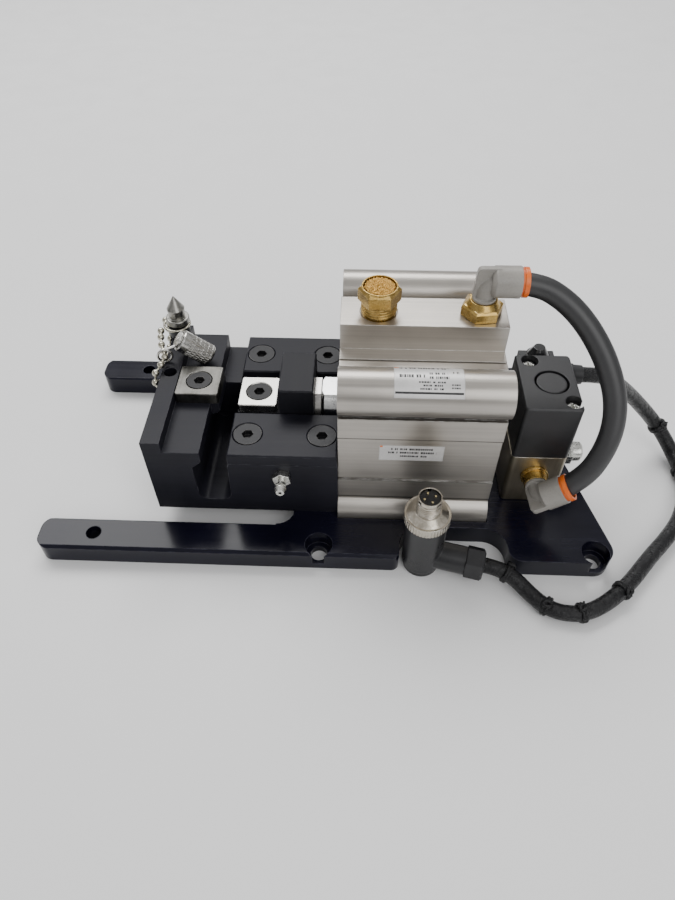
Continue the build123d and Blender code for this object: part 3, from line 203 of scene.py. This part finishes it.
ALONG_X = (0.03, 1, 1)
ALONG_Y = (1, 0.03, 1)
materials = {
    "plate_black": finish_material(
        "plate_black", (0.003, 0.003, 0.009), (0.006, 0.006, 0.016), rough=(0.13, 0.25), grain=500,
        stretch=ALONG_X, bump=0.1, wear=(0.12, 0.12, 0.16), wear_amount=0.5, specular=0.26,
        edge=0.0005,
    ),
    "block_black": finish_material(
        "block_black", (0.007, 0.007, 0.011), (0.016, 0.016, 0.023), rough=(0.36, 0.52), grain=700,
        stretch=ALONG_X, bump=0.2, wear=(0.16, 0.16, 0.18), wear_amount=0.5, specular=0.2,
    ),
    "slide_black": finish_material(
        "slide_black", (0.009, 0.009, 0.012), (0.016, 0.016, 0.021), rough=(0.42, 0.55), grain=800,
        stretch=ALONG_Y, bump=0.2, wear=(0.16, 0.16, 0.18), specular=0.2,
    ),
    "screw_black": finish_material(
        "screw_black", (0.012, 0.012, 0.013), (0.034, 0.034, 0.036), rough=(0.36, 0.6),
        metallic=0.5, patch=300, grain=1500, bump=0.4, wear=(0.3, 0.29, 0.28), wear_amount=0.8,
        edge=0.0003,
    ),
    "pad_ground": finish_material(
        "pad_ground", (0.09, 0.088, 0.08), (0.19, 0.186, 0.172), rough=(0.3, 0.46), metallic=1.0,
        patch=120, grain=1200, stretch=ALONG_Y, bump=0.25, wear=(0.7, 0.7, 0.68),
        speckle=(0.2, 0.19, 0.17), speckle_scale=700, speckle_level=0.66,
    ),
    "pad_bright": finish_material(
        "pad_bright", (0.52, 0.51, 0.48), (0.74, 0.73, 0.7), rough=(0.2, 0.34), metallic=1.0,
        patch=120, grain=1200, stretch=ALONG_Y, bump=0.25, wear=(0.85, 0.85, 0.83),
    ),
    "cylinder_alu": finish_material(
        "cylinder_alu", (0.38, 0.355, 0.325), (0.53, 0.5, 0.455), rough=(0.28, 0.4), metallic=0.85,
        patch=25, grain=900, stretch=(0.008, 1, 1), bump=0.55,
        # painted groove shade at these heights
        groove_shade_lines=(64.3, 62.8, 52.3, 29.1, 18.6), wear=(0.85, 0.85, 0.83), wear_amount=0.5,
    ),
    "cover_alu": finish_material(
        "cover_alu", (0.3, 0.3, 0.29), (0.45, 0.45, 0.43), rough=(0.3, 0.45), metallic=1.0,
        patch=60, grain=900,
    ),
    "rod_chrome": finish_material(
        "rod_chrome", (0.6, 0.6, 0.59), (0.8, 0.8, 0.79), rough=(0.14, 0.26), metallic=1.0,
        patch=300, grain=1600, bump=0.2, speckle=(0.35, 0.35, 0.35), speckle_scale=1300,
        speckle_level=0.66,
    ),
    "steel_nut": finish_material(
        "steel_nut", (0.52, 0.5, 0.47), (0.68, 0.66, 0.63), rough=(0.18, 0.3), metallic=1.0,
        patch=200, grain=1200, bump=0.1, wear=(0.8, 0.8, 0.78),
    ),
    "pin_steel": finish_material(
        "pin_steel", (0.22, 0.22, 0.2), (0.42, 0.41, 0.38), rough=(0.22, 0.42), metallic=1.0,
        patch=400, grain=1500, stretch=(1, 1, 0.1), bump=0.35, wear=(0.75, 0.75, 0.72),
    ),
    "zinc": finish_material(
        "zinc", (0.5, 0.5, 0.47), (0.78, 0.78, 0.74), rough=(0.16, 0.36), metallic=1.0, patch=500,
        grain=1500, bump=0.3, wear=(0.9, 0.9, 0.88),
    ),
    "valve_metal": finish_material(
        "valve_metal", (0.3, 0.265, 0.195), (0.45, 0.4, 0.31), rough=(0.28, 0.42), metallic=0.95,
        patch=45, grain=600, stretch=(1, 1, 0.05), bump=0.2, wear=(0.85, 0.84, 0.8),
    ),
    "brass": finish_material(
        "brass", (0.38, 0.24, 0.06), (0.62, 0.43, 0.15), rough=(0.18, 0.34), metallic=1.0,
        patch=260, grain=1200, bump=0.3, wear=(0.92, 0.72, 0.35), speckle=(0.72, 0.66, 0.5),
        speckle_scale=420, speckle_level=0.76,
    ),
    "bronze_grain": finish_material(
        "bronze_grain", (0.36, 0.19, 0.04), (0.75, 0.46, 0.13), rough=(0.3, 0.5), metallic=1.0,
        patch=900, grain=2500, bump=0.5,
    ),
    "grey_resin": finish_material(
        "grey_resin", (0.28, 0.265, 0.24), (0.37, 0.35, 0.32), rough=(0.34, 0.48), patch=60,
        grain=1400, bump=0.12, wear=(0.7, 0.7, 0.68), wear_amount=0.3, edge=0.0007,
    ),
    "orange_resin": finish_material(
        "orange_resin", (0.78, 0.12, 0.01), (0.95, 0.2, 0.02), rough=(0.25, 0.4), patch=200,
        grain=1500, wear=(0.98, 0.45, 0.2), wear_amount=0.4,
    ),
    "black_resin": finish_material(
        "black_resin", (0.011, 0.011, 0.012), (0.023, 0.023, 0.025), rough=(0.34, 0.5), patch=60,
        grain=2200, bump=0.35, wear=(0.09, 0.09, 0.1), wear_amount=0.6, edge=0.0005,
    ),
    "plug_black": finish_material(
        "plug_black", (0.01, 0.01, 0.011), (0.02, 0.02, 0.022), rough=(0.22, 0.4), patch=80,
        grain=1800, bump=0.25, wear=(0.08, 0.08, 0.09), edge=0.0006,
    ),
    "hose_black": finish_material(
        "hose_black", (0.013, 0.013, 0.014), (0.022, 0.022, 0.024), rough=(0.4, 0.52), patch=50,
        grain=1200, bump=0.15, specular=0.8,
    ),
    "sleeve_black": finish_material(
        "sleeve_black", (0.004, 0.004, 0.005), (0.011, 0.011, 0.012), rough=(0.16, 0.36), patch=180,
        grain=300, bump=1.0, bump_depth=0.0012, specular=0.35,
    ),
    "smoked_lens": finish_material(
        "smoked_lens", (0.012, 0.012, 0.013), (0.03, 0.03, 0.031), rough=(0.12, 0.26), patch=120,
        grain=1500, bump=0.1, wear=(0.1, 0.1, 0.1), coat=0.3,
    ),
    "rubber": finish_material("rubber", (0.02, 0.02, 0.02), (0.035, 0.035, 0.035), rough=(0.5, 0.7)),
    "nickel": finish_material(
        "nickel", (0.42, 0.38, 0.31), (0.66, 0.61, 0.52), rough=(0.16, 0.28), metallic=1.0,
        patch=300, grain=1300, bump=0.06, wear=(0.9, 0.88, 0.84),
    ),
    "nickel_bright": finish_material(
        "nickel_bright", (0.4, 0.39, 0.36), (0.66, 0.65, 0.62), rough=(0.14, 0.28), metallic=1.0,
        patch=500, grain=1600, wear=(0.92, 0.91, 0.88), edge=0.0003,
    ),
    "chain_nickel": finish_material(
        "chain_nickel", (0.38, 0.36, 0.28), (0.66, 0.63, 0.54), rough=(0.12, 0.26), metallic=1.0,
        patch=700, grain=1600,
    ),
    "gold": finish_material(
        "gold", (0.75, 0.6, 0.3), (0.9, 0.78, 0.5), rough=(0.15, 0.3), metallic=1.0,
    ),
    "copper": finish_material(
        "copper", (0.4, 0.14, 0.05), (0.6, 0.25, 0.1), rough=(0.3, 0.4), metallic=1.0,
    ),
    "label_paper": finish_material(
        "label_paper", (0.62, 0.61, 0.6), (0.74, 0.73, 0.72), rough=(0.3, 0.45), metallic=0.3,
        patch=120, grain=1500, bump=0.08,
    ),
    "label_ink": finish_material(
        "label_ink", (0.015, 0.015, 0.015), (0.03, 0.03, 0.03), rough=(0.4, 0.5),
    ),
    "label_orange": finish_material(
        "label_orange", (0.8, 0.2, 0.05), (0.9, 0.3, 0.1), rough=(0.4, 0.5),
    ),
}

finish_of = {
    "plate_black": ("base_plate",),
    "block_black": ("clamp_body", "front_cover_plate", "back_cover_plate"),
    "slide_black": ("slide_block",),
    "screw_black": (
        "cover_screws", "plate_screws", "fixed_pad_screw", "moving_pad_screw", "rod_stud",
        "cylinder_screws", "retaining_rings", "pin_socket",
    ),
    "pad_ground": ("fixed_pad",),
    "pad_bright": ("moving_pad",),
    "cylinder_alu": ("cylinder_tube",),
    "cover_alu": ("rod_cover", "head_cover", "piston"),
    "rod_chrome": ("piston_rod",),
    "steel_nut": ("rod_jam_nut", "piston_nut"),
    "pin_steel": ("locating_pin",),
    "zinc": ("cap_screws", "exhaust_plug", "grease_nipple"),
    "valve_metal": ("valve_body",),
    "brass": ("silencer_body", "upper_elbow_stud", "lower_elbow_stud", "rod_bush"),
    "bronze_grain": ("silencer_element",),
    "grey_resin": ("upper_elbow_body", "lower_elbow_body", "wear_ring"),
    "smoked_lens": ("indicator_lens",),
    "orange_resin": ("upper_release_ring", "lower_release_ring"),
    "black_resin": ("coil_cap", "terminal_box", "cable_gland", "valve_plunger", "coil_bobbin"),
    "plug_black": ("connector_housing", "connector_nut", "connector_insert"),
    "hose_black": ("air_hose",),
    "sleeve_black": ("valve_cable", "cable_ties"),
    "rubber": ("rod_seal", "piston_seal", "piston_magnet", "body_gasket"),
    "nickel": ("coupling_ring",),
    "nickel_bright": ("dust_cap", "cap_tab"),
    "chain_nickel": ("ball_chain", "pin_chain_ring"),
    "gold": ("connector_pins",),
    "copper": ("coil_winding",),
}
for finish, names in finish_of.items():
    for name in names:
        nodes[name].data.materials.clear()
        nodes[name].data.materials.append(materials[finish])


# ---------------------------------------------------------------- mesh kit
def add_mesh(name, vertices, faces, material, smooth=True, body="frame"):
    mesh = bpy.data.meshes.new(name)
    mesh.from_pydata(vertices, [], faces)
    mesh.polygons.foreach_set("use_smooth", [smooth] * len(mesh.polygons))
    mesh.materials.append(materials[material])
    mesh.update()
    piece = bpy.data.objects.new(name, mesh)
    bpy.context.collection.objects.link(piece)
    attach(piece, body)
    return piece


def tube_rings(points, radius, sides, closed):
    """Vertices and quads of a round tube that follows points."""
    vertices = []
    faces = []
    count = len(points)
    across = Vector((0, 0, 1))
    for index, point in enumerate(points):
        before = points[index - 1] if index or closed else point
        after = points[(index + 1) % count] if index < count - 1 or closed else point
        along = (after - before).normalized()
        side = along.cross(across)
        if side.length < 1e-4:
            side = along.cross(Vector((1, 0, 0)))
        side.normalize()
        other = along.cross(side)
        for turn in range(sides):
            angle = 2 * math.pi * turn / sides
            vertices.append(point + (side * math.cos(angle) + other * math.sin(angle)) * radius)
    for ring in range(count if closed else count - 1):
        for turn in range(sides):
            following = (turn + 1) % sides
            upper = (ring + 1) % count
            lower_start = ring * sides
            upper_start = upper * sides
            faces.append(
                (lower_start + turn, lower_start + following, upper_start + following, upper_start + turn)
            )
    if not closed:
        faces.append(tuple(reversed(range(sides))))
        faces.append(tuple(range((count - 1) * sides, count * sides)))
    return vertices, faces


def join_shapes(shapes):
    vertices = []
    faces = []
    for more_vertices, more_faces in shapes:
        start = len(vertices)
        vertices.extend(more_vertices)
        faces.extend(tuple(start + i for i in face) for face in more_faces)
    return vertices, faces


def route_curve(name, route, radius, material):
    """A round cord along a smooth spline with the route's points as its control points."""
    curve = bpy.data.curves.new(name, "CURVE")
    curve.dimensions = "3D"
    curve.bevel_depth = radius
    curve.bevel_resolution = 6
    curve.resolution_u = 12
    curve.use_fill_caps = True
    spline = curve.splines.new("NURBS")
    spline.points.add(len(route) - 1)
    for point, place in zip(spline.points, route):
        point.co = (*[value * MM for value in place], 1)
    spline.order_u = 3
    spline.use_endpoint_u = True
    curve.materials.append(materials[material])
    piece = bpy.data.objects.new(name, curve)
    bpy.context.collection.objects.link(piece)
    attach(piece, "frame")
    return piece


def center_line(piece):
    """The points of a curve object's smooth line."""
    bare = piece.copy()
    bare.data = piece.data.copy()
    bare.data.bevel_depth = 0
    line = bpy.data.meshes.new_from_object(bare)
    points = [vertex.co.copy() for vertex in line.vertices]
    bpy.data.meshes.remove(line)
    bpy.data.objects.remove(bare)
    return points


def along_line(points, fraction):
    """The place and direction at a fraction of a line's length."""
    lengths = [0.0]
    for start, end in zip(points, points[1:]):
        lengths.append(lengths[-1] + (end - start).length)
    target = fraction * lengths[-1]
    for index in range(len(points) - 1):
        if lengths[index + 1] >= target:
            run = points[index + 1] - points[index]
            share = (target - lengths[index]) / max(run.length, 1e-9)
            return points[index] + run * share, run.normalized()
    return points[-1], (points[-1] - points[-2]).normalized()


# ---------------------------------------------------------------- air hose and cable
HOSE_RADIUS = 4.1
HOSE_ROUTE = (
    (61.55, 0, 97.8), (75, 0, 97.8), (86, -4.4, 93.4), (94.9, -10.5, 86), (102.4, -18, 75.8),
    (106.9, -26.2, 64), (105.6, -33.8, 51.6), (98.59, -39.1, 36.762), (87.0518, -39.1, 27.7468),
)
hose = route_curve("air_hose_tube", HOSE_ROUTE, HOSE_RADIUS * MM, "hose_black")
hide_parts("air_hose")

CABLE_RADIUS = 3.1
FLOOR = 4.1
CABLE_ROUTE = (
    (101.3, 0, 56), (107, 0, 56), (113.5, 2.5, 52.6), (122, 7.5, 44), (132, 12.5, 33), (144, 15, 20),
    (152.5, 13, 10.5), (157, 6, 5), (158.5, -5.5, FLOOR), (155.5, -19, FLOOR), (149.5, -31, FLOOR),
    (141, -41, FLOOR), (132, -50, FLOOR), (121, -62.5, FLOOR), (110, -71.5, FLOOR), (100.5, -76, FLOOR),
    (92.5, -75.8, FLOOR), (86.5, -73, FLOOR), (81.5, -68, 4.6), (76.5, -62.9, 6.4), (70.645, -59.672, 8),
    (64.813, -58.261, 8),
)
cable = route_curve("cable_sleeve", CABLE_ROUTE, CABLE_RADIUS * MM, "sleeve_black")
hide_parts("valve_cable")
cable_line = center_line(cable)


def lacing_knot(place, direction, seed):
    """Two wraps of lacing round the cable with a lumpy knot on one side."""
    draw = random.Random(seed)
    side = direction.cross(Vector((0, 0, 1))).normalized()
    rise = side.cross(direction).normalized()
    shapes = []
    for offset in (-0.55, 0.55):
        lean = draw.uniform(-0.12, 0.12)
        ring = []
        for turn in range(28):
            angle = 2 * math.pi * turn / 28
            radius = (3.3 + 0.14 * math.sin(3 * angle + seed)) * MM
            radial = side * math.cos(angle) + rise * math.sin(angle)
            shift = direction * ((offset + lean * math.cos(angle)) * MM)
            ring.append(place + radial * radius + shift)
        shapes.append(tube_rings(ring, 0.72 * MM, 8, True))
    angle = draw.uniform(0.2, 2.8)
    radial = side * math.cos(angle) + rise * math.sin(angle)
    tangent = direction.cross(radial)
    for loop in range(2):
        ring = []
        for turn in range(14):
            swing = 2 * math.pi * turn / 14
            ring.append(
                place
                + radial * ((3.8 + 0.4 * math.sin(2 * swing + loop)) * MM)
                + tangent * (1.2 * math.cos(swing + 0.5 * loop) * MM)
                + direction * (1.4 * math.sin(swing) * MM)
            )
        shapes.append(tube_rings(ring, 0.62 * MM, 7, True))
    for way in (-1, 1):
        start = place + radial * (3.4 * MM) + tangent * (way * 0.6 * MM)
        reach = radial * 0.9 + tangent * (way * 1.4) + direction * draw.uniform(-1, 1)
        end = start + reach * MM
        middle = (start + end) / 2 + radial * (0.3 * MM)
        shapes.append(tube_rings([start, middle, end], 0.4 * MM, 7, False))
    return join_shapes(shapes)


TIE_PLACES = (0.292, 0.4, 0.731, 0.82, 0.878, 0.96)
knots = join_shapes(
    [lacing_knot(*along_line(cable_line, share), seed) for seed, share in enumerate(TIE_PLACES, 3)]
)
lacing = add_mesh("cable_lacing", *knots, "sleeve_black")
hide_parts("cable_ties")


# ---------------------------------------------------------------- stickers on the cylinder
POST_Y = -30
POST_Z = 72.3
POST_RADIUS = 8.5
PANEL_Y = -33.5


def post_surface(x, turn, lift):
    """A point on the front upper corner post: turn in degrees from straight up towards the front."""
    angle = math.radians(turn)
    radius = POST_RADIUS + lift
    return Vector((x, POST_Y - radius * math.sin(angle), POST_Z + radius * math.cos(angle))) * MM


def panel_surface(x, z, lift):
    """A point on the flat front panel."""
    return Vector((x, PANEL_Y - lift, z)) * MM


def patch_on(surface, across, rows, lift, steps):
    """A thin closed patch between across[0]..across[1] and rows[0]..rows[1] of a surface."""
    vertices = []
    faces = []
    for level in (0.0, lift):
        for row in range(steps + 1):
            place = rows[0] + (rows[1] - rows[0]) * row / steps
            vertices.append(surface(across[0], place, level))
            vertices.append(surface(across[1], place, level))
    top = 2 * (steps + 1)
    for row in range(steps):
        a = 2 * row
        faces.append((top + a, top + a + 1, top + a + 3, top + a + 2))
        faces.append((a + 2, a + 3, a + 1, a))
        faces.append((a, top + a, top + a + 2, a + 2))
        faces.append((a + 1, a + 3, top + a + 3, top + a + 1))
    faces.append((0, 1, top + 1, top))
    last = 2 * steps
    faces.append((last, top + last, top + last + 1, last + 1))
    return vertices, faces


def printed_line(surface, start, end, row, height, seed, lift):
    """A row of short blocks of uneven width that only stand for lettering."""
    draw = random.Random(seed)
    shapes = []
    x = start
    while x < end:
        width = draw.uniform(0.25, 0.8)
        shapes.append(patch_on(surface, (x, min(x + width, end)), (row, row + height), lift, 1))
        x += width + draw.choice((0.22, 0.22, 0.3, 0.9))
    return join_shapes(shapes)


LABEL_LIFT = 0.05
INK_LIFT = 0.08
rating_label = add_mesh(
    "rating_label", *patch_on(post_surface, (26.2, 50.0), (-44, 60), LABEL_LIFT, 26), "label_paper", False
)
rating_print = add_mesh(
    "rating_print",
    *join_shapes(
        [
            printed_line(post_surface, 28.2, 45.0, -34, 9, 1, INK_LIFT),
            printed_line(post_surface, 28.0, 36.6, 1, 9, 2, INK_LIFT),
            printed_line(post_surface, 38.2, 44.4, -7, 7, 3, INK_LIFT),
            printed_line(post_surface, 38.2, 44.8, 6, 7, 4, INK_LIFT),
            printed_line(post_surface, 34.5, 43.5, 20, 4, 5, INK_LIFT),
            printed_line(post_surface, 36.0, 42.5, 28, 4, 6, INK_LIFT),
            printed_line(post_surface, 35.0, 43.0, 36, 4, 7, INK_LIFT),
            printed_line(post_surface, 46.2, 48.2, -12, 8, 8, INK_LIFT),
            printed_line(post_surface, 45.6, 49.0, 26, 11, 9, INK_LIFT),
            patch_on(post_surface, (26.6, 49.6), (45, 50), INK_LIFT, 2),
        ]
    ),
    "label_ink",
    False,
)
test_label = add_mesh(
    "test_label", *patch_on(panel_surface, (22.6, 46.8), (40.4, 48.6), LABEL_LIFT, 1), "label_paper", False
)
test_print = add_mesh(
    "test_print",
    *join_shapes(
        [
            printed_line(panel_surface, 27.0, 42.5, 46.2, 1.0, 11, INK_LIFT),
            printed_line(panel_surface, 26.0, 44.0, 44.3, 1.0, 12, INK_LIFT),
            printed_line(panel_surface, 30.5, 40.5, 42.4, 0.9, 13, INK_LIFT),
        ]
    ),
    "label_ink",
    False,
)
label_marks = add_mesh(
    "label_marks",
    *join_shapes(
        [
            patch_on(post_surface, (26.4, 28.0), (-42, -30), INK_LIFT, 3),
            patch_on(panel_surface, (22.8, 23.8), (47.6, 48.5), INK_LIFT, 1),
        ]
    ),
    "label_orange",
    False,
)


# ---------------------------------------------------------------- silencer
SILENCER_X = 20.9
SILENCER_BASE = 84.5
ELEMENT_START = 8.8
GRAIN_COUNT = 190
GRAIN_SPREAD = 5.45
GRAIN_RADIUS = 0.46
CORE_SIDES = 24


def grain_disc():
    """Sintered grains packed over a nearly flat disc."""
    draw = random.Random(21)
    shapes = []
    base = SILENCER_BASE + ELEMENT_START
    step = math.pi * (3 - math.sqrt(5))
    places = []
    for index in range(GRAIN_COUNT):
        radius = GRAIN_SPREAD * math.sqrt((index + 0.5) / GRAIN_COUNT)
        crown = 2.3 - 0.5 * (radius / GRAIN_SPREAD) ** 2
        places.append((radius * math.cos(step * index), radius * math.sin(step * index), base + crown - 0.2))
    for x, y, z in places:
        made = bmesh.new()
        bmesh.ops.create_icosphere(made, subdivisions=1, radius=GRAIN_RADIUS * MM * draw.uniform(0.85, 1.12))
        jitter = [draw.uniform(-0.08, 0.08) for axis in range(3)]
        center = Vector((SILENCER_X + x + jitter[0], y + jitter[1], z + jitter[2])) * MM
        shapes.append(
            (
                [vertex.co + center for vertex in made.verts],
                [tuple(vertex.index for vertex in face.verts) for face in made.faces],
            )
        )
        made.free()
    core = ((0.0, 5.6), (1.5, 5.6), (1.8, 4.2), (1.95, 0.5))
    vertices = []
    faces = []
    for height, radius in core:
        for turn in range(CORE_SIDES):
            angle = 2 * math.pi * turn / CORE_SIDES
            x = SILENCER_X + radius * math.cos(angle)
            y = radius * math.sin(angle)
            vertices.append(Vector((x, y, base + height)) * MM)
    for ring in range(len(core) - 1):
        for turn in range(CORE_SIDES):
            following = (turn + 1) % CORE_SIDES
            lower = ring * CORE_SIDES
            upper = lower + CORE_SIDES
            faces.append((lower + turn, lower + following, upper + following, upper + turn))
    faces.append(tuple(reversed(range(CORE_SIDES))))
    faces.append(tuple(range(CORE_SIDES * (len(core) - 1), CORE_SIDES * len(core))))
    shapes.append((vertices, faces))
    return join_shapes(shapes)


element = add_mesh("sintered_element", *grain_disc(), "bronze_grain")
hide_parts("silencer_element")


def thread_on(x, y, bottom, top, radius, pitch, depth):
    """A helical ridge round an upright shank."""
    points = []
    turns = (top - bottom) / pitch
    count = int(turns * 36)
    for index in range(count + 1):
        share = index / count
        angle = 2 * math.pi * turns * share
        place = (x + radius * math.cos(angle), y + radius * math.sin(angle), bottom + (top - bottom) * share)
        points.append(Vector(place) * MM)
    return tube_rings(points, depth * MM, 6, False)


silencer_thread = add_mesh(
    "silencer_thread",
    *thread_on(SILENCER_X, 0, SILENCER_BASE + 0.2, SILENCER_BASE + 4.9, 6.3, 1.15, 0.32),
    "brass",
)
PLUG_X = 41.0
PLUG_Y = -52.5
plug_thread = add_mesh(
    "plug_thread", *thread_on(PLUG_X, PLUG_Y, 35.6, 38.6, 4.32, 1.0, 0.3), "nickel", body="coupling"
)


# ---------------------------------------------------------------- floor, light
def floor_material():
    material = bpy.data.materials.new("floor_white")
    material.use_nodes = True
    tree = material.node_tree
    shader = tree.nodes["Principled BSDF"]
    shader.inputs["Specular IOR Level"].default_value = 0.3
    place = node(tree, "ShaderNodeTexCoord").outputs["Object"]
    tone = noise(tree, place, 3.0, 3.0)
    tree.links.new(mix_color(tree, tone, (0.9, 0.9, 0.9), (0.93, 0.93, 0.93)), shader.inputs["Base Color"])
    tree.links.new(spread(tree, noise(tree, place, 40.0), 0.3, 0.7, 0.4, 0.6), shader.inputs["Roughness"])
    return material


FLOOR_HALF = 4.0
floor_mesh = bpy.data.meshes.new("floor")
floor_mesh.from_pydata(
    [(x * FLOOR_HALF, y * FLOOR_HALF, 0) for x, y in ((-1, -1), (1, -1), (1, 1), (-1, 1))],
    [],
    [(0, 1, 2, 3)],
)
floor_mesh.materials.append(floor_material())
floor = bpy.data.objects.new("floor", floor_mesh)
bpy.context.collection.objects.link(floor)

world = bpy.data.worlds.new("world")
bpy.context.scene.world = world
world.use_nodes = True
backdrop = world.node_tree.nodes["Background"]
sky = node(world.node_tree, "ShaderNodeTexGradient")
sky_place = node(world.node_tree, "ShaderNodeTexCoord")
sky_turn = node(world.node_tree, "ShaderNodeMapping")
sky_turn.inputs["Rotation"].default_value = (0, math.radians(90), 0)
world.node_tree.links.new(sky_place.outputs["Generated"], sky_turn.inputs["Vector"])
world.node_tree.links.new(sky_turn.outputs["Vector"], sky.inputs["Vector"])
sky_color = mix_color(world.node_tree, sky.outputs["Fac"], (0.45, 0.45, 0.46), (0.95, 0.95, 0.95))
world.node_tree.links.new(sky_color, backdrop.inputs["Color"])
backdrop.inputs["Strength"].default_value = 0.72


def area_light(name, place, target, size, power):
    light = bpy.data.lights.new(name, "AREA")
    light.shape = "RECTANGLE"
    light.size = size[0]
    light.size_y = size[1]
    light.energy = power
    lamp = bpy.data.objects.new(name, light)
    bpy.context.collection.objects.link(lamp)
    lamp.location = place
    lamp.rotation_euler = (Vector(target) - Vector(place)).to_track_quat("-Z", "Y").to_euler()


area_light("key", (-0.25, 0.75, 1.1), (0.02, 0, 0.03), (1.3, 0.6), 15.5)
area_light("fill", (0.5, -0.9, 0.9), (0.02, 0, 0.03), (0.9, 0.9), 6)
